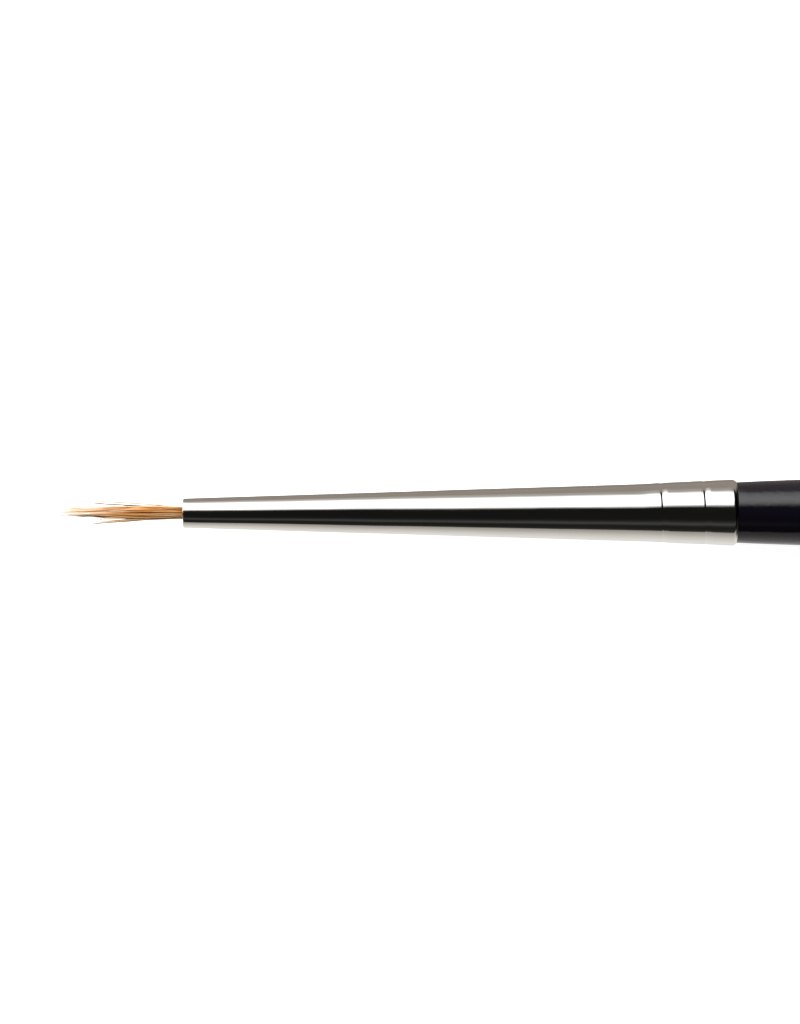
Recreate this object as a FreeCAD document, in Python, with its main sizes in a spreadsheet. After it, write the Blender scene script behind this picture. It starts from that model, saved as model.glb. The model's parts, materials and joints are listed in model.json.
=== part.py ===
"""Fine detail brush, in millimetres.

The brush lies along X: the hair points to -X, the handle's tail to +X, and +Z is up.
The origin is on the brush's axis, in the middle of the widest part of the handle.

Every round piece is one outline in the XY plane, turned about the X axis.  An outline is a
list of steps (x, r, edge): x and r are expressions on the dims sheet, and edge is the edge
that leads to the next step: None for a straight line, or (radius, side) for an arc, where
side is +1 when the arc bulges to the left of the way it is drawn and -1 to the right.
"""
import FreeCAD, Part
import math
import os

import Sketcher

DIMENSIONS = {
    # Ferrule: a cone that flares where the handle was driven in.
    "mouth_to_belly": 34.0,        # ferrule's mouth to the origin
    "ferrule_length": 43.0,
    "ferrule_wall": 0.34,
    "nose_radius": 1.145,          # outside, at the hair end
    "flare_length": 6.9,           # mouth to the start of the flare
    "flare_radius": 2.248,         # outside, where the flare starts
    "mouth_radius": 2.55,          # outside, at the mouth before the rim is rolled
    "rim_roll_length": 0.38,
    "rim_roll_radius": 0.44,
    "lip_bore": 0.56,              # turned-in lip around the hair
    "lip_depth": 0.35,
    "lip_round": 0.08,
    # Crimp rings: distance from the mouth, and the tool that presses them.
    "crimp_near": 2.47,
    "crimp_far": 5.78,
    "crimp_tool_radius": 0.3,
    "crimp_depth": 0.04,
    "crimp_film": 0.02,            # glue left between a crimp and the wood
    # Handle: outside of the lacquer, then the coats under it.
    "shoulder_radius": 2.333,      # at the ferrule's mouth
    "belly_radius": 3.0,
    "belly_length": 6.0,           # the straight land at the widest part
    "tail_length": 96.0,           # origin to the end of the tail
    "tail_radius": 1.25,
    "tail_turn": 0.45,             # share of the taper that is convex, before it turns concave
    "lacquer_coat": 0.10,
    "undercoat_coat": 0.08,
    # Tenon inside the ferrule.
    "tenon_length": 9.0,
    "tenon_end_radius": 1.78,
    "tenon_chamfer": 0.5,
    # Hair roots, binding and resin inside the ferrule's nose.
    "bundle_radius": 0.5,
    "root_depth": 11.0,            # lip to the butt of the roots
    "resin_depth": 12.8,           # lip to the back of the resin
    "resin_dip": 0.3,              # hollow of the set resin's back face
    "binding_depth": 7.6,          # lip to the middle of the first turn
    "binding_turns": 6.0,
    "thread_radius": 0.1,
    "thread_pitch": 0.22,
    "thread_gap": 0.01,
    # Free tuft: pivots and ends are distances out from the lip.
    "root_stand_out": 0.35,
    "belly_pivot": 0.9,
    "point_pivot": 3.6,
    "segment_gap": 0.05,
    "tuft_widest": 5.2,
    "tuft_widest_radius": 0.58,
    "tuft_shoulder": 7.6,
    "tuft_shoulder_radius": 0.36,
    "tuft_length": 9.45,
    "tuft_tip_radius": 0.1,
}

# Locks that have parted from the tuft: where each starts, its length along itself, its lean away
# from the axis in degrees, and its radii.
LOCK_MEASURES = (
    "out", "side", "lean", "start_gap", "length", "start_radius", "middle_radius", "end_radius",
)
LOCKS = {
    "upper_lock": (4.2, 0.71, 3.8, 0.1, 4.2, 0.11, 0.13, 0.08),
    "lower_lock": (4.0, -0.69, -4.6, 0.1, 2.6, 0.11, 0.15, 0.09),
}
for lock, measures in LOCKS.items():
    for measure, value in zip(LOCK_MEASURES, measures):
        DIMENSIONS[f"{lock}_{measure}"] = value

document = FreeCAD.newDocument("fine_detail_brush")
sheet = document.addObject("Spreadsheet::Sheet", "dims")


def fill_sheet():
    for row, (name, value) in enumerate(DIMENSIONS.items(), start=1):
        sheet.set(f"A{row}", name)
        sheet.set(f"B{row}", str(value))
        sheet.setAlias(f"B{row}", name)
    document.recompute()


def number(expression):
    """The value of an expression on the sheet, in millimetres."""
    value = sheet.evalExpression(str(expression))
    return float(getattr(value, "Value", value))


def new_body(label):
    body = document.addObject("PartDesign::Body", label)
    body.Label = label
    return body


def new_sketch(body, name, role="XY_Plane"):
    plane = next(item for item in body.Origin.OriginFeatures if item.Role == role)
    sketch = body.newObject("Sketcher::SketchObject", name)
    sketch.AttachmentSupport = [(plane, "")]
    sketch.MapMode = "FlatFace"
    return sketch


def bind(sketch, constraint, expression):
    index = sketch.addConstraint(constraint)
    sketch.setExpression(f"Constraints[{index}]", str(expression))


def arc_between(start, end, radius, side):
    """Arc geometry, and whether it is drawn from its end point to its start point."""
    chord = end - start
    left = FreeCAD.Vector(-chord.y, chord.x, 0).normalize()
    height = math.sqrt(radius ** 2 - (chord.Length / 2) ** 2)
    centre = (start + end) * 0.5 - left * (side * height)
    angles = [math.atan2(point.y - centre.y, point.x - centre.x) for point in (start, end)]
    backwards = side > 0
    if backwards:
        angles.reverse()
    circle = Part.Circle(centre, FreeCAD.Vector(0, 0, 1), radius)
    return Part.ArcOfCircle(circle, *angles), backwards


def draw_outline(body, name, outline):
    """A closed, fully constrained sketch of the outline."""
    sketch = new_sketch(body, name)
    points = [FreeCAD.Vector(number(x), number(r), 0) for x, r, _ in outline]
    ends = []
    for index, (_, _, edge) in enumerate(outline):
        start, end = points[index], points[(index + 1) % len(points)]
        if edge is None:
            geometry, backwards = Part.LineSegment(start, end), False
        else:
            geometry, backwards = arc_between(start, end, number(edge[0]), edge[1])
        geo = sketch.addGeometry(geometry)
        ends.append((geo, 2, 1) if backwards else (geo, 1, 2))
    for index, (geo, first, last) in enumerate(ends):
        following = ends[(index + 1) % len(ends)]
        sketch.addConstraint(Sketcher.Constraint("Coincident", geo, last, following[0], following[1]))
    for (x, r, edge), point, (geo, first, _) in zip(outline, points, ends):
        bind(sketch, Sketcher.Constraint("DistanceX", -1, 1, geo, first, point.x), x)
        if point.y == 0:
            sketch.addConstraint(Sketcher.Constraint("PointOnObject", geo, first, -1))
        else:
            bind(sketch, Sketcher.Constraint("DistanceY", -1, 1, geo, first, point.y), r)
        if edge is not None:
            bind(sketch, Sketcher.Constraint("Radius", geo, number(edge[0])), edge[0])
    return sketch


def turn(body, name, outline, kind="Revolution"):
    """Turn an outline about the X axis, as a Revolution that adds or a Groove that cuts."""
    sketch = draw_outline(body, f"{name}_outline", outline)
    feature = body.newObject(f"PartDesign::{kind}", name)
    feature.Profile = sketch
    feature.ReferenceAxis = (sketch, ["H_Axis"])
    feature.Angle = 360
    before = 0 if body.Shape.isNull() else body.Shape.Volume
    document.recompute()
    change = body.Shape.Volume - before
    if (change <= 0) == (kind == "Revolution"):
        raise RuntimeError(f"{body.Label}: {name} changed the volume by {change:.5f}")
    return feature


def backwards(outline):
    """The same outline drawn the other way."""
    steps = outline[::-1]
    edges = [step[2] for step in steps[1:]] + [None]
    flipped = [edge and (edge[0], -edge[1]) for edge in edges]
    return [(x, r, edge) for (x, r, _), edge in zip(steps, flipped)]


# Places along X, as expressions on the sheet.
MOUTH = "(-dims.mouth_to_belly)"
NOSE = f"({MOUTH} - dims.ferrule_length)"
FLARE = f"({MOUTH} - dims.flare_length)"
TENON_END = f"({MOUTH} - dims.tenon_length)"
GLUE_END = f"({TENON_END} + dims.tenon_chamfer)"
ROOT_BUTT = f"({NOSE} + dims.root_depth)"
BINDING = f"({NOSE} + dims.binding_depth)"
BELLY_PIVOT = f"({NOSE} - dims.belly_pivot)"
POINT_PIVOT = f"({NOSE} - dims.point_pivot)"

COATS = "(dims.lacquer_coat + dims.undercoat_coat)"
WALL = "dims.ferrule_wall"


def outside_of_flare(x):
    slope = "(dims.mouth_radius - dims.flare_radius) / dims.flare_length"
    return f"(dims.mouth_radius - {slope} * ({MOUTH} - {x}))"


def inside_of_cone(x):
    slope = "(dims.flare_radius - dims.nose_radius) / (dims.ferrule_length - dims.flare_length)"
    return f"(dims.flare_radius - dims.ferrule_wall - {slope} * ({FLARE} - {x}))"


def nose_bore():
    """The ferrule's inside behind its lip: bore, then a 45 degree step out to the cone."""
    lip_back = f"({NOSE} + dims.lip_depth)"
    step_radius = inside_of_cone(lip_back)
    step_back = f"({lip_back} + {step_radius} - dims.lip_bore)"
    return [(lip_back, "dims.lip_bore", None), (step_back, inside_of_cone(step_back), None)]


def crimp_section(distance, reach, chord):
    """What the crimping tool pushes in, one wall or film of thickness reach further down.

    The tool is a ring of round section.  Surfaces under it are parallel to it, so they are
    arcs about the same centre.  The chord closes the section at a radius measured from the
    ferrule's outside.
    """
    x = f"({MOUTH} - {distance})"
    surface = outside_of_flare(x)
    radius = f"(dims.crimp_tool_radius + {reach})"
    drop = f"(dims.crimp_tool_radius - dims.crimp_depth - {chord})"
    half = f"sqrt({radius}^2 - {drop}^2)"
    level = f"({surface} + {chord})"
    return [(f"{x} - {half}", level, (radius, -1)), (f"{x} + {half}", level, None)]


def press_crimps(body, kind, reach, chord):
    for name in ("crimp_near", "crimp_far"):
        turn(body, f"{name}_{kind.lower()}", crimp_section(f"dims.{name}", reach, chord), kind)


def handle_outline(inset):
    """The handle's outside from the mouth to the tail's end, moved in by inset.

    Belly, taper and tail are tangent arcs, so an inset moves their radii and not their centres.
    """
    run = "(dims.mouth_to_belly - dims.belly_length / 2)"
    rise = "(dims.belly_radius - dims.shoulder_radius)"
    swell = f"(({run}^2 + {rise}^2) / (2 * {rise}))"
    shoulder = f"(dims.belly_radius - {swell} + sqrt(({swell} - {inset})^2 - {run}^2))"
    tail_centre = "(dims.tail_length - dims.tail_radius)"
    taper = f"({tail_centre} - dims.belly_length / 2)"
    fall = "(dims.belly_radius - dims.tail_radius)"
    half_tangent = f"({fall} / {taper})"
    sine = f"(2 * {half_tangent} / (1 + {half_tangent}^2))"
    cosine = f"((1 - {half_tangent}^2) / (1 + {half_tangent}^2))"
    convex = f"({taper} / {sine} * dims.tail_turn - {inset})"
    concave = f"({taper} / {sine} * (1 - dims.tail_turn) + {inset})"
    turn_x = f"(dims.belly_length / 2 + dims.tail_turn * {taper} - {inset} * {sine})"
    turn_r = f"(dims.belly_radius - dims.tail_turn * {fall} - {inset} * {cosine})"
    return [
        (MOUTH, shoulder, (f"({swell} - {inset})", 1)),
        ("-dims.belly_length / 2", f"(dims.belly_radius - {inset})", None),
        ("dims.belly_length / 2", f"(dims.belly_radius - {inset})", (convex, 1)),
        (turn_x, turn_r, (concave, -1)),
        (tail_centre, f"(dims.tail_radius - {inset})", (f"(dims.tail_radius - {inset})", 1)),
        (f"(dims.tail_length - {inset})", 0, None),
    ]


def make_ferrule():
    body = new_body("ferrule")
    roll_start = f"({MOUTH} - dims.rim_roll_length)"
    turn(body, "cone", [
        (NOSE, "dims.nose_radius - dims.lip_round", ("dims.lip_round", 1)),
        (f"{NOSE} + dims.lip_round", "dims.nose_radius", None),
        (FLARE, "dims.flare_radius", None),
        (roll_start, outside_of_flare(roll_start), ("dims.rim_roll_radius", 1)),
        (MOUTH, "dims.shoulder_radius", None),
        (MOUTH, "dims.mouth_radius - dims.ferrule_wall", None),
        (FLARE, "dims.flare_radius - dims.ferrule_wall", None),
        *backwards(nose_bore()),
        (f"{NOSE} + dims.lip_round", "dims.lip_bore", ("dims.lip_round", 1)),
        (NOSE, "dims.lip_bore + dims.lip_round", None),
    ])
    press_crimps(body, "Groove", "0", "dims.crimp_depth")
    press_crimps(body, "Revolution", WALL, f"(-{WALL} / 2)")
    return body


def make_handle_core():
    body = new_body("handle_core")
    turn(body, "turned_wood", [
        (TENON_END, 0, None),
        (TENON_END, "dims.tenon_end_radius - dims.tenon_chamfer", None),
        (GLUE_END, "dims.tenon_end_radius", None),
        *handle_outline(COATS),
    ])
    press_crimps(body, "Groove", f"({WALL} + dims.crimp_film)", f"(-{WALL})")
    return body


def make_coat(label, outer_inset, inner_inset):
    body = new_body(label)
    turn(body, "coat", handle_outline(outer_inset) + backwards(handle_outline(inner_inset)))
    return body


def make_tenon_glue():
    """The film between tenon and ferrule, pressed into the tenon where the crimps are."""
    body = new_body("tenon_glue")
    turn(body, "film", [
        (GLUE_END, "dims.tenon_end_radius", None),
        (GLUE_END, inside_of_cone(GLUE_END), None),
        (FLARE, f"dims.flare_radius - {WALL}", None),
        (MOUTH, f"dims.mouth_radius - {WALL}", None),
        (MOUTH, handle_outline(COATS)[0][1], None),
    ])
    press_crimps(body, "Revolution", f"({WALL} + dims.crimp_film)", f"(-{WALL} - dims.crimp_film)")
    press_crimps(body, "Groove", WALL, f"(-{WALL} + dims.crimp_depth)")
    return body


def make_resin_plug():
    """Resin around the roots: it fills the nose, the lip's bore and the room around the binding."""
    body = new_body("resin_plug")
    front = f"({NOSE} + dims.lip_round)"
    back = f"({NOSE} + dims.resin_depth)"
    back_radius = inside_of_cone(back)
    meniscus = f"(({back_radius}^2 + dims.resin_dip^2) / (2 * dims.resin_dip))"
    binding_front = f"({BINDING} - dims.thread_radius - dims.thread_gap)"
    binding_back = (
        f"({BINDING} + dims.binding_turns * dims.thread_pitch + dims.thread_radius + dims.thread_gap)"
    )
    binding_radius = "(dims.bundle_radius + 2 * dims.thread_radius + 2 * dims.thread_gap)"
    turn(body, "resin", [
        (front, "dims.bundle_radius", None),
        (front, "dims.lip_bore", None),
        *nose_bore(),
        (back, back_radius, (meniscus, -1)),
        (f"({back} - dims.resin_dip)", 0, None),
        (ROOT_BUTT, 0, None),
        (ROOT_BUTT, "dims.bundle_radius", None),
        (binding_back, "dims.bundle_radius", None),
        (binding_back, binding_radius, None),
        (binding_front, binding_radius, None),
        (binding_front, "dims.bundle_radius", None),
    ])
    return body


def make_root_binding():
    """Thread wound around the roots, a hair's breadth clear of them."""
    body = new_body("root_binding")
    sketch = new_sketch(body, "thread_section")
    level = "(dims.bundle_radius + dims.thread_radius + dims.thread_gap)"
    centre = FreeCAD.Vector(number(BINDING), number(level), 0)
    circle = Part.Circle(centre, FreeCAD.Vector(0, 0, 1), number("dims.thread_radius"))
    geo = sketch.addGeometry(circle)
    bind(sketch, Sketcher.Constraint("DistanceX", -1, 1, geo, 3, centre.x), BINDING)
    bind(sketch, Sketcher.Constraint("DistanceY", -1, 1, geo, 3, centre.y), level)
    bind(sketch, Sketcher.Constraint("Radius", geo, circle.Radius), "dims.thread_radius")
    winding = body.newObject("PartDesign::AdditiveHelix", "winding")
    winding.Profile = sketch
    winding.ReferenceAxis = (sketch, ["H_Axis"])
    winding.Mode = "pitch-turns-angle"
    winding.setExpression("Pitch", "dims.thread_pitch")
    winding.setExpression("Turns", "dims.binding_turns")
    return body


def make_hair_root():
    body = new_body("hair_root")
    turn(body, "roots", [
        (f"({NOSE} - dims.root_stand_out)", 0, None),
        (f"({NOSE} - dims.root_stand_out)", "dims.bundle_radius", None),
        (ROOT_BUTT, "dims.bundle_radius", None),
        (ROOT_BUTT, 0, None),
    ])
    return body


def ball_end(pivot):
    """A segment of the tuft starts as a ball about its pivot, so it turns clear of the one before."""
    return [
        (f"({pivot} + dims.bundle_radius)", 0, ("dims.bundle_radius", -1)),
        (pivot, "dims.bundle_radius", None),
    ]


def make_hair_belly():
    body = new_body("hair_belly")
    end = f"({POINT_PIVOT} + dims.bundle_radius + dims.segment_gap)"
    turn(body, "belly", [
        *ball_end(BELLY_PIVOT),
        (end, "dims.bundle_radius", None),
        (end, 0, None),
    ])
    return body


def make_hair_point():
    body = new_body("hair_point")
    turn(body, "point", [
        *ball_end(POINT_PIVOT),
        (f"({NOSE} - dims.tuft_widest)", "dims.tuft_widest_radius", None),
        (f"({NOSE} - dims.tuft_shoulder)", "dims.tuft_shoulder_radius", None),
        (f"({NOSE} - dims.tuft_length + dims.tuft_tip_radius)", "dims.tuft_tip_radius",
         ("dims.tuft_tip_radius", -1)),
        (f"({NOSE} - dims.tuft_length)", 0, None),
    ])
    return body


def make_lock(label):
    """A lock that has parted from the tuft: a slim spindle along X, then leant away from the axis."""
    body = new_body(label)
    lock = {word: f"dims.{label}_{word}" for word in LOCK_MEASURES}
    half = f"({lock['length']} / 2)"
    turn(body, "spindle", [
        (f"-{lock['length']}", 0, None),
        (f"-{lock['length']}", lock["end_radius"], None),
        (f"-{half}", lock["middle_radius"], None),
        (f"-{lock['start_gap']}", lock["start_radius"], None),
        (f"-{lock['start_gap']}", 0, None),
    ])
    body.setExpression("Placement.Base.x", f"{NOSE} - {lock['out']}")
    body.setExpression("Placement.Base.y", lock["side"])
    body.setExpression("Placement.Rotation.Angle", f"-{lock['lean']}")
    return body


def check_document():
    document.recompute()
    failed = [item.Label for item in document.Objects if {"Invalid", "Error"} & set(item.State)]
    if failed:
        raise RuntimeError(f"failed to build: {failed}")


def export(bodies):
    os.makedirs("parts", exist_ok=True)
    for body in bodies:
        shape = body.Shape
        if shape.isNull() or not shape.isValid() or not shape.Solids:
            raise RuntimeError(f"{body.Label} has no sound solid")
        shape.exportStep(f"parts/{body.Label}.step")
        print(f"{body.Label}: {shape.Volume:.3f} mm3, {len(shape.Solids)} solid(s)")


fill_sheet()
sub_parts = [
    make_ferrule(),
    make_handle_core(),
    make_coat("handle_undercoat", "dims.lacquer_coat", COATS),
    make_coat("handle_lacquer", "0", "dims.lacquer_coat"),
    make_tenon_glue(),
    make_resin_plug(),
    make_root_binding(),
    make_hair_root(),
    make_hair_belly(),
    make_hair_point(),
    *(make_lock(label) for label in LOCKS),
]
check_document()
export(sub_parts)
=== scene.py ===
"""Looks of the fine detail brush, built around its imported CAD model.

Metres, in the CAD's frame: X along the brush with the hair at -X, +Z up, and the origin in the
middle of the handle's belly.
"""

import json
import math
import random

import bpy
import numpy as np
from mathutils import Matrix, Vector


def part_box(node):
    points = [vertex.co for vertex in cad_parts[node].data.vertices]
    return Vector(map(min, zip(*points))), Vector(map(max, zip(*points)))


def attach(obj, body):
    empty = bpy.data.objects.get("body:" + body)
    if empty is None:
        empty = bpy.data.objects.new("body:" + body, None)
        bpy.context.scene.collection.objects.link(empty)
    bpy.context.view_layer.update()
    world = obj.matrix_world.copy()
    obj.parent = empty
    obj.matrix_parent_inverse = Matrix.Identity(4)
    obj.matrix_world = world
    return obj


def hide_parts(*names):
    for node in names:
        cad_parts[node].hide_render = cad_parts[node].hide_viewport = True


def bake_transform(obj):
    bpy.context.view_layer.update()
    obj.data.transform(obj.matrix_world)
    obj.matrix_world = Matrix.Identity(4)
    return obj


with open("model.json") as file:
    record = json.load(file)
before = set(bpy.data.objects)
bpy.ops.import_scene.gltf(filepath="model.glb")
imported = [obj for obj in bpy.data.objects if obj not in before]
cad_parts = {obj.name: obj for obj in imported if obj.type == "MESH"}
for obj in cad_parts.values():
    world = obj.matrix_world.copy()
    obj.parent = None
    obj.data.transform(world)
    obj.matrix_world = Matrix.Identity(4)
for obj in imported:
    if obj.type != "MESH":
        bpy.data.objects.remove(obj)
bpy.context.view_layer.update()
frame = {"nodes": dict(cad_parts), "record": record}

MM = 0.001
MICRON = 1e-6

# ---------------------------------------------------------------- places, from the frame
FERRULE_LOW, FERRULE_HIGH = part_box("ferrule")
LACQUER_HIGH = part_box("handle_lacquer")[1]
NOSE_X = FERRULE_LOW.x                       # the ferrule's lip, where the hair comes out
MOUTH_X = FERRULE_HIGH.x                     # the ferrule's rim, where the handle goes in
TAIL_X = LACQUER_HIGH.x
BELLY_R = LACQUER_HIGH.y
FLOOR_Z = -BELLY_R
ROOT_BUTT_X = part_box("hair_root")[1].x

# ---------------------------------------------------------------- sizes, as in the CAD
WALL = 0.34 * MM                 # the ferrule's sheet
NOSE_R = 1.145 * MM
FLARE_X = MOUTH_X - 6.9 * MM     # the cone flares from here to the mouth
FLARE_R = 2.248 * MM
MOUTH_R = 2.55 * MM              # where the flare would reach the mouth, were the rim not rolled
RIM_ROLL = 0.38 * MM             # the rolled rim's length along X
RIM_ROLL_R = 0.44 * MM
LIP_BORE = 0.56 * MM             # the radius of the hole that the hair comes out of
LIP_DEPTH = 0.35 * MM
LIP_ROUND = 0.08 * MM
SHOULDER_R = 2.333 * MM          # the handle, where it leaves the ferrule
LAND = 6.0 * MM                  # the straight middle of the belly
TAIL_R = 1.25 * MM
TAIL_TURN = 0.45                 # the share of the taper that is convex, before it turns concave
LACQUER = 0.10 * MM

# ---------------------------------------------------------------- sizes, finer than in the CAD
CRIMPS = (MOUTH_X - 2.57 * MM, MOUTH_X - 5.88 * MM)     # the steep sides of the two crimp rings
CRIMP_DEPTH = 0.030 * MM
CRIMP_WALL = 0.17 * MM           # the side of a crimp towards the hair is steep,
CRIMP_RUN_OUT = 0.48 * MM        # the side towards the handle runs out gently
CRIMP_SLANT = 0.045              # and the ring isn't quite square to the axis
CRIMP_SLANT_REACH = 1.6          # in millimetres: this far from a crimp nothing leans any more
CRIMP_RINGS = 41                 # rings of vertices across each crimp,
CONE_RINGS = 140                 # and evenly along the whole cone
OVAL = 0.040 * MM                # how far the mouth's radius leaves the circle, out and in
OVAL_AT = math.radians(17)       # its long axis, from +Y towards +Z
OVAL_RUN_IN = 3.0 * MM           # it starts in the ferrule's flare over this length,
OVAL_RUN_OUT = 30.0 * MM         # and dies away in the handle over this one
LACQUER_EDGE = 0.05 * MM         # the coat's round edge at the ferrule's rim
FERRULE_AROUND = 256             # faces round each skin
LACQUER_AROUND = 192


# ---------------------------------------------------------------- mesh building
def make_object(name, vertices, faces, material, smooth=True):
    mesh = bpy.data.meshes.new(name)
    mesh.from_pydata([tuple(v) for v in vertices], [], faces)
    mesh.validate()
    # Only end caps have five or more corners, and they stay flat.
    shaded_smooth = [smooth and face.loop_total < 5 for face in mesh.polygons]
    mesh.polygons.foreach_set("use_smooth", shaded_smooth)
    mesh.materials.append(material)
    mesh.update()
    piece = bpy.data.objects.new(name, mesh)
    bpy.context.scene.collection.objects.link(piece)
    return piece


def arc_steps(start, end, radius, side, steps):
    """Points along an arc from start to end, which bulges to the left (+1) or right (-1)."""
    start, end = np.array(start), np.array(end)
    chord = end - start
    length = math.hypot(*chord)
    left = np.array((-chord[1], chord[0])) / length
    centre = (start + end) / 2 - left * side * math.sqrt(radius ** 2 - (length / 2) ** 2)
    first = math.atan2(*(start - centre)[::-1])
    last = math.atan2(*(end - centre)[::-1])
    sweep = (last - first + math.pi) % (2 * math.pi) - math.pi
    angles = first + sweep * np.linspace(0, 1, steps + 1)
    return [tuple(centre + radius * np.array((math.cos(a), math.sin(a)))) for a in angles]


def lathe(name, outline, around, material, waves=None, slant=None):
    """A closed outline of (x, r) points turned about the X axis.  Points with r of 0 are poles.

    waves(x, angle) is how far the skin stands off the outline there, and slant(x) how far the
    ring at x leans back per unit of y.
    """
    vertices, rings = [], []
    turn = np.linspace(0, 2 * math.pi, around, endpoint=False)
    for x, r in outline:
        if r < 1e-9:
            rings.append([len(vertices)])
            vertices.append((x, 0, 0))
            continue
        rings.append(range(len(vertices), len(vertices) + around))
        skin = r + (waves(x, turn) if waves else 0) * np.ones(around)
        y, z = skin * np.cos(turn), skin * np.sin(turn)
        vertices.extend(zip(x - y * (slant(x) if slant else 0), y, z))
    faces = []
    for here, there in zip(rings, rings[1:] + rings[:1]):
        if len(here) == len(there) == 1:
            continue
        for k in range(around):
            n = (k + 1) % around
            if len(here) == 1:
                faces.append((here[0], there[k], there[n]))
            elif len(there) == 1:
                faces.append((here[k], there[0], here[n]))
            else:
                faces.append((here[k], there[k], there[n], here[n]))
    return make_object(name, vertices, faces, material)


def tube(vertices, faces, path, radii, sides):
    """Adds a closed tube along path, a list of points, to the lists of vertices and faces."""
    path = np.array(path)
    along = np.gradient(path, axis=0)
    along /= np.linalg.norm(along, axis=1)[:, None]
    side = np.cross((0, 0, 1), along)
    side /= np.linalg.norm(side, axis=1)[:, None]
    up = np.cross(along, side)
    first = len(vertices)
    for point, radius, y, z in zip(path, radii, side, up):
        for k in range(sides):
            a = 2 * math.pi * k / sides
            vertices.append(point + radius * (y * math.cos(a) + z * math.sin(a)))
    for ring in range(len(path) - 1):
        low = first + ring * sides
        for k in range(sides):
            n = (k + 1) % sides
            faces.append((low + k, low + n, low + sides + n, low + sides + k))
    faces.append(tuple(first + k for k in reversed(range(sides))))
    faces.append(tuple(first + (len(path) - 1) * sides + k for k in range(sides)))


# ---------------------------------------------------------------- materials
def node_adder(tree):
    """A function that adds a shader node to the tree.  Inputs are values, or outputs to link."""
    def add(kind, inputs=None, **settings):
        node = tree.nodes.new(f"ShaderNode{kind}")
        for key, value in settings.items():
            setattr(node, key, value)
        for socket, value in (inputs or {}).items():
            if isinstance(value, bpy.types.NodeSocket):
                tree.links.new(value, node.inputs[socket])
            else:
                node.inputs[socket].default_value = value
        return node

    return add


def new_material(name):
    """A node material, its Principled shader, a node adder, and wire(output, shader's input)."""
    material = bpy.data.materials.new(name)
    material.use_nodes = True
    tree = material.node_tree
    shader = tree.nodes["Principled BSDF"]
    add = node_adder(tree)

    def wire(output, socket):
        tree.links.new(output, shader.inputs[socket])

    return material, shader, add, wire


def stretched(add, scale, stretch=(1, 1, 1), detail=2.0, roughness=0.5):
    """Noise in object coordinates, its grain drawn out by the stretch."""
    place = add("TexCoord").outputs["Object"]
    mapping = add("Mapping", {"Vector": place, "Scale": stretch})
    return add("TexNoise", {"Vector": mapping.outputs[0], "Scale": scale, "Detail": detail,
                            "Roughness": roughness}).outputs["Fac"]


def ramp(add, factor, stops):
    """A colour ramp: stops are (position, (r, g, b))."""
    node = add("ValToRGB", {"Fac": factor})
    elements = node.color_ramp.elements
    while len(elements) < len(stops):
        elements.new(0.5)
    for element, (position, colour) in zip(elements, stops):
        element.position = position
        element.color = (*colour, 1)
    return node.outputs["Color"]


def bumped(add, height, distance, normal=None):
    """A normal that the height shapes, on top of the normal given."""
    inputs = {"Height": height, "Distance": distance, "Strength": 1.0}
    if normal is not None:
        inputs["Normal"] = normal
    return add("Bump", inputs).outputs["Normal"]


def ranged(add, value, low, high, out_low, out_high, smooth=True):
    """The value moved from low..high to out_low..out_high, and kept inside it."""
    return add("MapRange", {"Value": value, "From Min": low, "From Max": high, "To Min": out_low,
                            "To Max": out_high},
               interpolation_type="SMOOTHSTEP" if smooth else "LINEAR").outputs["Result"]


def nickel_material():
    """Polished nickel plate with faint draw lines along the cone."""
    material, shader, add, wire = new_material("nickel_plate")
    cloud = stretched(add, 300, (0.4, 1, 1), 3)
    colour = ramp(add, cloud, [(0.3, (0.655, 0.640, 0.600)), (0.7, (0.690, 0.678, 0.645))])
    wire(colour, "Base Color")
    shader.inputs["Metallic"].default_value = 1.0
    streaks = stretched(add, 2600, (0.02, 1, 1), 4, 0.6)
    wire(ranged(add, streaks, 0.3, 0.75, 0.045, 0.12), "Roughness")
    lines = bumped(add, streaks, 0.25e-6)
    wire(bumped(add, stretched(add, 900, (0.35, 1, 1), 2), 5e-6, normal=lines), "Normal")
    return material


def lacquer_material():
    """Deep blue-black gloss lacquer with a slight orange peel."""
    material, shader, add, wire = new_material("blue_black_lacquer")
    cloud = stretched(add, 120, (0.3, 1, 1), 3)
    wire(ramp(add, cloud, [(0.3, (0.0030, 0.0024, 0.0048)), (0.7, (0.0043, 0.0034, 0.0067))]),
         "Base Color")
    shader.inputs["IOR"].default_value = 1.5
    haze = stretched(add, 700, (1, 1, 1), 4, 0.6)
    wire(ranged(add, haze, 0.3, 0.75, 0.045, 0.10), "Roughness")
    fine = bumped(add, stretched(add, 6500, (1, 1, 1), 2), 0.25e-6)
    wire(bumped(add, stretched(add, 1500, (0.8, 1, 1), 1), 15e-6, normal=fine), "Normal")
    return material


def wood_material():
    """Turned birch: long grain, fine pores."""
    material, shader, add, wire = new_material("hardwood")
    grain = stretched(add, 1400, (0.05, 1, 1), 5, 0.6)
    wire(ramp(add, grain, [(0.25, (0.42, 0.27, 0.14)), (0.5, (0.60, 0.43, 0.25)),
                           (0.8, (0.70, 0.54, 0.35))]), "Base Color")
    wire(ranged(add, grain, 0.2, 0.8, 0.75, 0.5), "Roughness")
    wire(bumped(add, grain, 8e-6), "Normal")
    return material


def undercoat_material():
    """Matt dark primer."""
    material, shader, add, wire = new_material("undercoat")
    grain = stretched(add, 900, (0.3, 1, 1), 4)
    wire(ramp(add, grain, [(0.3, (0.028, 0.028, 0.034)), (0.7, (0.050, 0.050, 0.056))]),
         "Base Color")
    wire(ranged(add, grain, 0.3, 0.7, 0.55, 0.8), "Roughness")
    wire(bumped(add, grain, 2e-6), "Normal")
    return material


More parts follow.
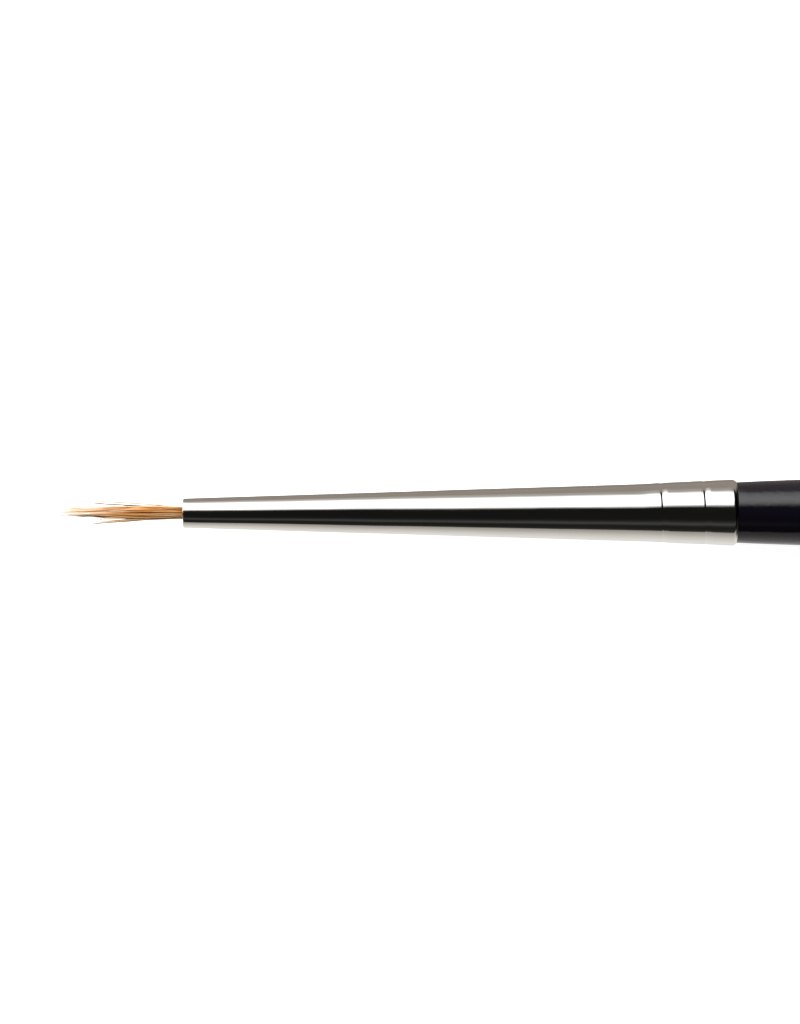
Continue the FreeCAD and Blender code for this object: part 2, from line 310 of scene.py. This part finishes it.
def set_liquid_material(name, thin, thick, glossy, cloudy):
    """Set glue or resin: cloudy amber with a slightly uneven skin."""
    material, shader, add, wire = new_material(name)
    cloud = stretched(add, 1100, (1, 1, 1), 4)
    wire(ramp(add, cloud, [(0.3, thick), (0.7, thin)]), "Base Color")
    wire(ranged(add, cloud, 0.3, 0.7, glossy, cloudy), "Roughness")
    wire(bumped(add, cloud, 4e-6), "Normal")
    return material


def thread_material():
    """Waxed thread: its ply shows as slanted bands."""
    material, shader, add, wire = new_material("binding_thread")
    place = add("TexCoord").outputs["Object"]
    ply = add("TexWave", {"Vector": place, "Scale": 5200, "Distortion": 2.0, "Detail": 2},
              bands_direction="DIAGONAL").outputs["Fac"]
    wire(ramp(add, ply, [(0.1, (0.50, 0.44, 0.33)), (0.9, (0.80, 0.75, 0.63))]), "Base Color")
    wire(ranged(add, ply, 0, 1, 0.75, 0.55), "Roughness")
    wire(bumped(add, ply, 10e-6), "Normal")
    return material


def hair_material():
    """Red sable: each hair has its own tone and is pale at its point; painted shade darkens it
    near the root.
    """
    material, shader, add, wire = new_material("sable_hair")
    tone = add("Attribute", attribute_name="hair_tone").outputs["Fac"]
    along = add("Attribute", attribute_name="hair_along").outputs["Fac"]
    body = ramp(add, tone, [(0.0, (0.075, 0.055, 0.042)), (0.15, (0.28, 0.098, 0.022)),
                            (0.5, (0.66, 0.285, 0.078)), (0.8, (0.90, 0.52, 0.19)),
                            (1.0, (0.97, 0.80, 0.54))])
    # Painted shade: towards the ferrule's lip the hair is darkened and greyed, as if in the
    # ferrule's shade.
    lip_painted_shade = ramp(add, along, [(0.0, (0.62, 0.56, 0.52)), (0.2, (0.84, 0.80, 0.76)),
                                   (0.5, (1, 1, 1))])
    shaded = add("Mix", {"Factor": 1.0, "A": body, "B": lip_painted_shade}, data_type="RGBA",
                 blend_type="MULTIPLY").outputs[2]
    fleck = stretched(add, 5000, (0.15, 1, 1), 3)
    flecked = add("Mix", {"Factor": ranged(add, fleck, 0.4, 0.7, 0.0, 0.22), "A": shaded,
                          "B": (0.92, 0.62, 0.30, 1)}, data_type="RGBA").outputs[2]
    pale = add("Math", {0: ranged(add, along, 0.52, 0.92, 0.0, 0.88),
                        1: ranged(add, tone, 0.05, 0.3, 0.1, 1.0)},
               operation="MULTIPLY").outputs[0]
    wire(add("Mix", {"Factor": pale, "A": flecked, "B": (0.95, 0.82, 0.62, 1)},
             data_type="RGBA").outputs[2], "Base Color")
    shader.inputs["Specular IOR Level"].default_value = 0.22
    wire(ranged(add, fleck, 0.3, 0.7, 0.30, 0.46), "Roughness")
    wire(bumped(add, fleck, 1.5e-6), "Normal")
    return material


MATERIALS = {
    "nickel_plate": nickel_material(),
    "hardwood": wood_material(),
    "undercoat": undercoat_material(),
    "blue_black_lacquer": lacquer_material(),
    "tenon_glue": set_liquid_material("tenon_glue", (0.72, 0.62, 0.40), (0.52, 0.40, 0.20),
                                      0.35, 0.6),
    "setting_resin": set_liquid_material("setting_resin", (0.50, 0.32, 0.11), (0.30, 0.15, 0.04),
                                         0.12, 0.3),
    "binding_thread": thread_material(),
    "sable_hair": hair_material(),
}


def finish_cad_nodes():
    """Every CAD node takes the procedural material of its slot."""
    for part in frame["record"]["subparts"]:
        node = frame["nodes"][part["node"]]
        node.data.materials.clear()
        node.data.materials.append(MATERIALS[part["material_slot"]])


# ---------------------------------------------------------------- ferrule
def cone_radius(x):
    """The ferrule's outside before it is crimped."""
    if x > FLARE_X:
        return FLARE_R + (MOUTH_R - FLARE_R) * (x - FLARE_X) / (MOUTH_X - FLARE_X)
    return NOSE_R + (FLARE_R - NOSE_R) * (x - NOSE_X) / (FLARE_X - NOSE_X)


def eased(share):
    """From 0 to 1 with a soft start and end."""
    share = min(1.0, max(0.0, share))
    return share * share * (3 - 2 * share)


def crimped_radius(x):
    """The cone with its crimp rings rolled in."""
    pressed = sum(
        eased((x - crimp) / CRIMP_WALL + 0.5) - eased((x - crimp - CRIMP_WALL / 2) / CRIMP_RUN_OUT)
        for crimp in CRIMPS
    )
    return cone_radius(x) - CRIMP_DEPTH * pressed


def crimp_slant(x):
    """Rings at the crimps lean a little, and those half way between them don't."""
    return CRIMP_SLANT * max(eased(CRIMP_SLANT_REACH - abs(x - crimp) / MM) for crimp in CRIMPS)


def ferrule_stations():
    """Places along the cone: even, but for the crimps, where they are close together."""
    before, behind = CRIMP_WALL / 2, CRIMP_WALL / 2 + CRIMP_RUN_OUT
    even = np.linspace(NOSE_X + LIP_ROUND, MOUTH_X - RIM_ROLL, CONE_RINGS)
    near = [np.linspace(crimp - before, crimp + behind, CRIMP_RINGS) for crimp in CRIMPS]
    away = [x for x in even
            if all(x < crimp - 1.1 * before or x > crimp + 1.03 * behind for crimp in CRIMPS)]
    return sorted([*away, *np.concatenate(near)])


def squeezed(x, angle):
    """Crimping left the mouth, and the handle just behind it, slightly oval."""
    grip = eased((x - FLARE_X + MM) / OVAL_RUN_IN) * (1 - eased((x - MOUTH_X) / OVAL_RUN_OUT))
    return OVAL * grip * np.cos(2 * (angle - OVAL_AT))


def summed(waves, x, angle):
    """The waves' height in metres.  Each is (lobes around, radians per metre, phase, microns)."""
    return MICRON * sum(size * np.sin(lobes * angle + pitch * x + phase)
                        for lobes, pitch, phase, size in waves)


def ferrule_waves(x, angle):
    """Long shallow waves that drawing and polishing left in the sheet, a few microns high."""
    inside = min(1.0, max(0.0, (x - NOSE_X) / MM), max(0.0, (MOUTH_X - x) / MM))
    waves = [(2, 210, 0.4, 2.2), (3, 340, 1.9, 1.8), (2, 620, 4.0, 1.0), (4, 480, 2.7, 1.2),
             (5, 900, 0.9, 0.7), (3, 1300, 5.2, 0.5)]
    return summed(waves, x, angle) * inside + squeezed(x, angle)


def build_ferrule():
    """The cone's outside, the rolled rim, the inside and the turned-in lip, as one closed skin."""
    skin = [(x, crimped_radius(x)) for x in ferrule_stations()]
    lip_out = arc_steps((NOSE_X, NOSE_R - LIP_ROUND), skin[0], LIP_ROUND, 1, 8)[:-1]
    rim = arc_steps(skin[-1], (MOUTH_X, SHOULDER_R), RIM_ROLL_R, 1, 14)[1:]
    lip_back = NOSE_X + LIP_DEPTH
    step = cone_radius(lip_back) - WALL - LIP_BORE
    inside = [(x, cone_radius(x) - WALL) for x in np.linspace(MOUTH_X, lip_back + step, 24)]
    lip_in = arc_steps((NOSE_X + LIP_ROUND, LIP_BORE), (NOSE_X, LIP_BORE + LIP_ROUND),
                       LIP_ROUND, 1, 8)
    outline = lip_out + skin + rim + inside + [(lip_back, LIP_BORE)] + lip_in
    piece = lathe("ferrule_shell", outline, FERRULE_AROUND, MATERIALS["nickel_plate"],
                  ferrule_waves, crimp_slant)
    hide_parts("ferrule")
    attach(piece, "brush")


# ---------------------------------------------------------------- handle
def handle_skin():
    """The handle's outside as in the CAD: tangent arcs for swell, taper and tail."""
    land = LAND / 2
    run, rise = -MOUTH_X - land, BELLY_R - SHOULDER_R
    swell = (run ** 2 + rise ** 2) / (2 * rise)
    tail_centre = TAIL_X - TAIL_R
    taper, fall = tail_centre - land, BELLY_R - TAIL_R
    sine = 2 * (fall / taper) / (1 + (fall / taper) ** 2)
    turn = (land + TAIL_TURN * taper, BELLY_R - TAIL_TURN * fall)
    convex, concave = taper / sine * TAIL_TURN, taper / sine * (1 - TAIL_TURN)
    return (
        arc_steps((MOUTH_X, SHOULDER_R), (-land, BELLY_R), swell, 1, 40)
        + arc_steps((land, BELLY_R), turn, convex, 1, 40)
        + arc_steps(turn, (tail_centre, TAIL_R), concave, -1, 40)[1:]
        + arc_steps((tail_centre, TAIL_R), (TAIL_X, 0), TAIL_R, 1, 16)[1:]
    )


def lacquer_waves(x, angle):
    """The coat flowed a little before it set."""
    inside = min(1.0, max(0.0, (x - MOUTH_X) / MM), max(0.0, (TAIL_X - x) / (4 * MM)))
    waves = [(2, 180, 0.7, 2.0), (3, 260, 2.6, 1.5), (4, 700, 1.1, 0.7)]
    return summed(waves, x, angle) * inside + squeezed(x, angle)


def build_lacquer():
    """The gloss coat, a closed shell with a soft edge where it meets the ferrule's rim."""
    skin = handle_skin()
    skin[-1] = (TAIL_X, 0.0)
    bead = arc_steps((MOUTH_X, SHOULDER_R - LACQUER_EDGE), (MOUTH_X + LACQUER_EDGE, SHOULDER_R),
                     LACQUER_EDGE, 1, 5)
    inside = [(x, r - LACQUER) for x, r in skin if r > LACQUER and x < TAIL_X - TAIL_R]
    cap = arc_steps((TAIL_X - TAIL_R, TAIL_R - LACQUER), (TAIL_X - LACQUER, 0),
                    TAIL_R - LACQUER, 1, 10)
    cap[-1] = (TAIL_X - LACQUER, 0.0)
    outline = bead + skin[1:] + list(reversed(inside + cap))
    piece = lathe("lacquer_coat", outline, LACQUER_AROUND, MATERIALS["blue_black_lacquer"],
                  lacquer_waves)
    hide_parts("handle_lacquer")
    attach(piece, "brush")


# ---------------------------------------------------------------- hair
SPLIT_OUT = 2.2 * MM             # every hair is cut in two this far out: between the hinges
HAIR_R = 0.047 * MM
HAIR_SIDES = 7
HAIR_SLIM = 0.86                 # a hair's width at its root, as a share of its fullest,
HAIR_POINT = 0.10                # and at its very end
HAIR_TAPER = 0.42                # the last share of its length draws out to the point,
HAIR_TAPER_CURVE = 0.6           # slowly at first
ROUND = 6.28                     # a whole turn, to the nearest hundredth
GOLDEN_TURN = 2.39996            # the turn from one place in a sunflower to the next
TUFT_HAIRS = 98                  # hairs in the tuft itself,
TUFT_R = 0.465                   # rooted over a disc of this radius, in millimetres,
TUFT_RISE = 0.04                 # a little towards +Y, and as much again at their points
GATHER = (0.64, 0.70)            # the points keep this share of the root's Y and Z
SHORTEST = 5.2                   # its shortest hair, in millimetres,
SPREAD = 5.8                     # and how much longer the longest may be
BELLY_SWELL = 0.13               # the bundle swells by this share of its width past the lip,
BELLY_STRETCH = 6.0 * MM         # over this length
UNDERSIDE = -0.31                # hairs rooted below this, in millimetres, are short and painted darker, their tone cut to this share as painted shade on the side away from the light, and the longest at most this much longer than the shortest
UNDERSIDE_PAINTED_SHADE = 0.3             # their tone cut to this share,
UNDERSIDE_SPREAD = 3.6           # and the longest at most this much longer than the shortest
LOWER_LOCK = 9                   # hairs in the lock below the tuft
CUT_STEP = 0.003 * MM            # a last ring this near the cut keeps the shading smooth there
ROOT_STEPS = 6                   # steps along a hair from its butt to the lip,
LOWER_STEPS = 14                 # from there to the cut,
UPPER_STEPS = 30                 # and from the cut to its point
SEED = 7
BEND_ONE = (0.3 * MM, 1.9 * MM)  # the stretch of tuft_bend out from the lip, handed to blend_over with the roots, and that of tip_bend, handed over with the upper halves
BEND_TWO = (2.6 * MM, 5.2 * MM)  # and with tip_bend over this one


class Hair:
    """One hair.  It leaves the bundle at leave, and its point is at end, length out from the lip.

    Places across the bundle are (y, z), and every length given is in millimetres.  A high lift
    keeps the hair in the bundle for longer, and wave is how far it swings from side to side.
    """

    def __init__(self, rng, root, leave, length, end, tone, lift=1.5, wave=0.02, size=1.0):
        self.root, self.leave, self.length, self.end = root, leave * MM, length * MM, end
        self.tone, self.lift, self.radius = tone, lift, HAIR_R * size * rng.uniform(0.85, 1.15)
        self.wave = wave * rng.uniform(0.3, 1.0)
        self.phase, self.pitch = rng.uniform(0, ROUND), rng.uniform(0.5, 1.1)
        self.roll = rng.uniform(0, ROUND)

    def point(self, out):
        """The hair's centre, out metres from the lip."""
        free = max(0.0, out - self.leave) / (self.length - self.leave)
        share = free ** self.lift
        swing = self.wave * math.sin(self.pitch * out / MM + self.phase) * min(1, max(0, out / MM))
        belly = 1 + BELLY_SWELL * math.sin(math.pi * min(1, max(0, out / BELLY_STRETCH)))
        sway = (swing * math.cos(self.roll), swing * math.sin(self.roll))
        y, z = (root * belly + (end - root) * share + aside
                for root, end, aside in zip(self.root, self.end, sway))
        return (NOSE_X - out, y * MM, z * MM)

    def thickness(self, out):
        """Full over its belly, slimmer at the root, and drawn out to a fine point."""
        along = out / self.length
        body = HAIR_SLIM + (1 - HAIR_SLIM) * math.sin(min(1, max(0, along)) * math.pi)
        point = min(1.0, max(0.0, (1 - along) / HAIR_TAPER)) ** HAIR_TAPER_CURVE
        return self.radius * body * max(HAIR_POINT, point)


def sunflower(count, radius):
    """Places spread evenly over a disc."""
    for k in range(count):
        r = radius * math.sqrt((k + 0.5) / count)
        yield r * math.cos(k * GOLDEN_TURN), r * math.sin(k * GOLDEN_TURN)


def hair_tone(rng):
    """Mostly mid red-brown, some dark hairs and some pale ones: 0 is darkest, 1 palest."""
    tone = rng.choice((0.05, 0.15, 0.25, 0.4, 0.5, 0.55, 0.62, 0.75, 0.9, 1.0))
    return tone + rng.uniform(-0.05, 0.05)


def main_hairs(rng):
    """The tuft itself, drawn together towards its point, and five hairs that stray from it."""
    for y, z in sunflower(TUFT_HAIRS, TUFT_R):
        y += TUFT_RISE
        under = y < UNDERSIDE
        length = SHORTEST + (UNDERSIDE_SPREAD if under else SPREAD) * rng.random()
        stray = 0.10 + 0.022 * (length - SHORTEST)
        end = (GATHER[0] * y + TUFT_RISE + rng.uniform(-stray, stray),
               GATHER[1] * z + rng.uniform(-0.12, 0.12))
        # Hairs on the tuft's underside get painted shade: their tone is cut, as if the hairs above
        # shaded them.
        tone = hair_tone(rng) * (UNDERSIDE_PAINTED_SHADE if under else 1)
        leave, lift = rng.uniform(1.0, 4.5), rng.uniform(1.1, 2.0)
        yield Hair(rng, (y, z), leave, length, end, tone, lift, 0.05)
    # A long dark hair, one that crosses down, and three pale ones side by side.
    yield Hair(rng, (-0.16, 0.0), 4.4, 11.3, (-0.34, 0.46), 0.02, 0.9, 0.006, 0.72)
    yield Hair(rng, (-0.05, 0.0), 4.6, 8.0, (-0.98, 0.42), 0.03, 1.2, 0.006, 0.6)
    for end in ((-0.58, 0.30), (-0.50, 0.36), (-0.42, 0.20)):
        yield Hair(rng, (-0.27, 0.20), 3.3, 7.2, end, 0.80, 1.15, 0.01)


def upper_hairs(rng):
    """The strays above the tuft: two long thin ones, and shorter ones beside them."""
    yield Hair(rng, (0.47, 0.05), 0.4, 9.6, (1.20, 0.10), 0.45, 1.1, 0.01, 0.95)
    yield Hair(rng, (0.46, 0.14), 2.4, 9.0, (0.95, 0.30), 0.05, 1.1, 0.01, 0.95)
    for length, y, tone in ((8.6, 1.06, 0.7), (7.8, 0.88, 0.6), (8.2, 1.00, 0.8),
                            (7.2, 0.64, 0.7), (8.8, 0.58, 0.85)):
        root = (0.44 + rng.uniform(-0.04, 0.03), rng.uniform(-0.1, 0.22))
        leave = rng.uniform(1.4, 3.0)
        end = (y, root[1] + rng.uniform(-0.1, 0.1))
        yield Hair(rng, root, leave, length, end, tone, 1.15, 0.015, 0.7)


def lower_hairs(rng):
    """The lock that parts from the tuft's underside."""
    for k in range(LOWER_LOCK):
        share = k / (LOWER_LOCK - 1)
        root = (-0.38 + 0.10 * math.sin(3.1 * share), -0.25 + 0.5 * share)
        length = 5.6 + 2.5 * rng.random()
        inset = (0, 0.10, 0.04, 0.18)[k % 4]
        end = (-0.72 - 0.08 * (length - 5.3) + inset, 0.6 * root[1])
        tone = 0.1 if inset == 0 else rng.choice((0.6, 0.75, 0.9, 1.0))
        yield Hair(rng, root, 1.9, length, end, tone, rng.uniform(1.0, 1.15), 0.01, 0.85)


def comb_hairs():
    """Every hair of the tuft, by the name of the piece that its free end belongs to."""
    rng = random.Random(SEED)
    return {"tuft_hairs": list(main_hairs(rng)), "upper_lock_hairs": list(upper_hairs(rng)),
            "lower_lock_hairs": list(lower_hairs(rng))}


def hair_mesh(name, hairs, outs_of):
    """One mesh of many hairs, each drawn through outs_of(hair), with its tone and share along."""
    vertices, faces, tones, shares = [], [], [], []
    for hair in hairs:
        outs = outs_of(hair)
        first = len(vertices)
        tube(vertices, faces, [hair.point(out) for out in outs],
             [hair.thickness(out) for out in outs], HAIR_SIDES)
        tones += [hair.tone] * (len(vertices) - first)
        shares += [max(0.0, out / hair.length) for out in outs for _ in range(HAIR_SIDES)]
    piece = make_object(name, vertices, faces, MATERIALS["sable_hair"])
    for attribute, values in (("hair_tone", tones), ("hair_along", shares)):
        piece.data.attributes.new(attribute, "FLOAT", "POINT").data.foreach_set("value", values)
    return piece


def lower_half(hair):
    """Steps from just inside the butt of the roots, out of the lip and up to the cut."""
    inside = np.linspace(NOSE_X - ROOT_BUTT_X + 0.02 * MM, 0, ROOT_STEPS)
    return [*inside, *np.linspace(0.15 * MM, SPLIT_OUT - CUT_STEP, LOWER_STEPS), SPLIT_OUT]


def upper_half(hair):
    """Steps from the cut to the hair's point."""
    return [SPLIT_OUT, *np.linspace(SPLIT_OUT + CUT_STEP, hair.length, UPPER_STEPS)]


def blend_over(piece, stretch):
    """Bakes the piece's transform into its mesh; the stretch's ends out from the lip are worked
    out but not used.
    """
    start, end = ((NOSE_X - out, 0, 0) for out in stretch)
    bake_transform(piece)
    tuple(start)
    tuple(end)


def build_hair():
    """The lower halves of all hairs as one piece, and the upper halves as one for each lock."""
    hairs = comb_hairs()
    every = [hair for group in hairs.values() for hair in group]
    roots = hair_mesh("hair_roots", every, lower_half)
    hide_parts("hair_root", "hair_belly")
    blend_over(roots, BEND_ONE)
    stands_for = {"tuft_hairs": "hair_point", "upper_lock_hairs": "upper_lock",
                  "lower_lock_hairs": "lower_lock"}
    for name, group in hairs.items():
        piece = hair_mesh(name, group, upper_half)
        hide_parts(stands_for[name])
        blend_over(piece, BEND_TWO)


# ---------------------------------------------------------------- studio
CAMERA_HEIGHT = 0.300            # above the brush's axis
SENSOR = 36.0                    # the camera's sensor along its long side, in millimetres
FRAME_HEIGHT = 79.61 * MM        # what the picture's long side spans at the brush's axis
LOOK_AT = (NOSE_X + 16.855 * MM, 0.072 * MM)    # (x, y) in the middle of the picture
CAMERA_ROLL = math.radians(-0.07)
TABLE_HALF = 1.5                 # half the side of the white table,
TABLE_GLOW = 0.95                # and how strongly it glows
KEY_AT = (NOSE_X - 0.1, 0.27, 0.40)
KEY_SIZE = (0.6, 0.3)
KEY_ENERGY = 2.6                 # in watts


def build_camera():
    """It looks straight down on the ferrule and the hair."""
    data = bpy.data.cameras.new("camera")
    data.sensor_width = SENSOR
    data.lens = data.sensor_width * CAMERA_HEIGHT / FRAME_HEIGHT
    data.clip_start = 0.01
    camera = bpy.data.objects.new("camera", data)
    camera.location = (*LOOK_AT, CAMERA_HEIGHT)
    camera.rotation_euler = (0, 0, CAMERA_ROLL)
    bpy.context.scene.collection.objects.link(camera)
    bpy.context.scene.camera = camera


def build_floor():
    """A white table that glows enough to stay white under the brush."""
    material, shader, add, wire = new_material("white_table")
    grain = stretched(add, 40, (1, 1, 1), 3)
    wire(ramp(add, grain, [(0.0, (0.78, 0.78, 0.78)), (1.0, (0.82, 0.82, 0.82))]), "Base Color")
    shader.inputs["Roughness"].default_value = 0.9
    shader.inputs["Emission Color"].default_value = (1, 1, 1, 1)
    shader.inputs["Emission Strength"].default_value = TABLE_GLOW
    corners = [(x * TABLE_HALF, y * TABLE_HALF, FLOOR_Z)
               for x, y in ((-1, -1), (1, -1), (1, 1), (-1, 1))]
    floor = make_object("floor", corners, [(0, 1, 2, 3)], material, smooth=False)
    floor.visible_glossy = False


# What the polished metal sees, by the angle about the brush from straight up (0) towards +Y (90).
SURROUNDINGS = [
    (-180, (0.90, 0.90, 0.88)), (-160, (0.80, 0.80, 0.78)), (-146, (1.04, 1.02, 1.00)),
    (-128, (0.98, 0.96, 0.94)), (-108, (0.84, 0.82, 0.79)), (-90, (0.60, 0.58, 0.55)),
    (-78, (0.47, 0.45, 0.42)), (-74.5, (0.03, 0.028, 0.025)), (-58, (0.014, 0.014, 0.014)),
    (-51, (0.030, 0.030, 0.031)), (-45.5, (0.075, 0.075, 0.078)), (-40, (0.055, 0.055, 0.056)),
    (-34, (0.022, 0.022, 0.022)), (-26, (0.011, 0.011, 0.011)), (16, (0.010, 0.010, 0.010)),
    (82, (0.010, 0.010, 0.010)), (94, (0.40, 0.355, 0.32)), (112, (0.385, 0.34, 0.305)),
    (126, (0.41, 0.36, 0.32)), (142, (0.34, 0.30, 0.27)), (165, (0.31, 0.29, 0.27)),
    (180, (0.30, 0.29, 0.28)),
]
# The long softbox: how bright it is, by the same angle, near its lower and its upper edge.
SOFTBOX_LIGHT = 3.05
SOFTBOX_LOW = [(16, 0.0), (19, 0.05), (21.6, 0.18), (25, 0.42), (29, 0.66), (34, 0.85), (40, 0.97),
               (46, 1.0)]
SOFTBOX_HIGH = [(50, 1.0), (62, 0.85), (68, 0.70), (73, 0.60), (77, 0.42), (80, 0.27), (84, 0.15),
                (90, 0.08), (98, 0.0)]
SOFTBOX_SLANT = 1.05             # how far the upper edge turns per unit along X, in radians
SOFTBOX_END = (0.10, 0.20)       # along X, it fades from full to nothing over this
ROOM_END = (0.50, 0.78)          # and the room from full to nearly dark over this,
ROOM_END_LIGHT = 0.04            # which is how bright it stays there
BACKDROP = 1.05                  # how bright the white is that the camera sees past the table


def build_world():
    """A studio as its reflections show it: white table below, one long softbox towards +Y."""
    world = bpy.data.worlds.new("studio")
    bpy.context.scene.world = world
    world.use_nodes = True
    tree = world.node_tree
    tree.nodes.clear()
    add = node_adder(tree)
    direction = add("SeparateXYZ", {"Vector": add("TexCoord").outputs["Generated"]}).outputs
    angle = add("Math", {0: direction["Y"], 1: direction["Z"]}, operation="ARCTAN2").outputs[0]
    slanted = add("Math", {0: direction["X"], 1: SOFTBOX_SLANT, 2: angle},
                  operation="MULTIPLY_ADD")

    def by_angle(turned, stops):
        turn = ranged(add, turned, -math.pi, math.pi, 0, 1, smooth=False)
        return ramp(add, turn, [((degrees + 180) / 360, colour) for degrees, colour in stops])

    def grey(stops):
        return [(degrees, (value, value, value)) for degrees, value in stops]

    def scaled(colour, factor):
        node = add("VectorMath", {0: colour}, operation="SCALE")
        tree.links.new(factor, node.inputs["Scale"])
        return node.outputs[0]

    room = by_angle(angle, SURROUNDINGS)
    box = add("VectorMath", {0: by_angle(angle, grey(SOFTBOX_LOW)),
                             1: by_angle(slanted.outputs[0], grey(SOFTBOX_HIGH))},
              operation="MULTIPLY").outputs[0]
    box = scaled(box, ranged(add, direction["X"], *SOFTBOX_END, SOFTBOX_LIGHT, 0))
    seen = add("VectorMath", {0: room, 1: box}, operation="ADD").outputs[0]
    seen = scaled(seen, ranged(add, direction["X"], *ROOM_END, 1.0, ROOM_END_LIGHT))
    studio = add("Background", {"Color": seen, "Strength": 1.0}).outputs[0]
    backdrop = add("Background", {"Color": (1, 1, 1, 1), "Strength": BACKDROP}).outputs[0]
    is_camera = add("LightPath").outputs["Is Camera Ray"]
    mixed = add("MixShader", {0: is_camera, 1: studio, 2: backdrop}).outputs[0]
    add("OutputWorld", {"Surface": mixed})


def build_key_light():
    """The softbox's own light on the hair, which the mirror-like metal doesn't show twice."""
    data = bpy.data.lights.new("key", "AREA")
    data.shape = "RECTANGLE"
    data.size, data.size_y = KEY_SIZE
    data.energy = KEY_ENERGY
    key = bpy.data.objects.new("key", data)
    key.location = KEY_AT
    key.rotation_mode = "QUATERNION"
    key.rotation_quaternion = (key.location - Vector((NOSE_X, 0, 0))).to_track_quat("Z", "Y")
    key.visible_glossy = False
    key.visible_camera = False
    bpy.context.scene.collection.objects.link(key)


finish_cad_nodes()
build_camera()
build_floor()
build_world()
build_key_light()
build_ferrule()
build_lacquer()
build_hair()
bpy.context.scene.view_settings.view_transform = "Standard"
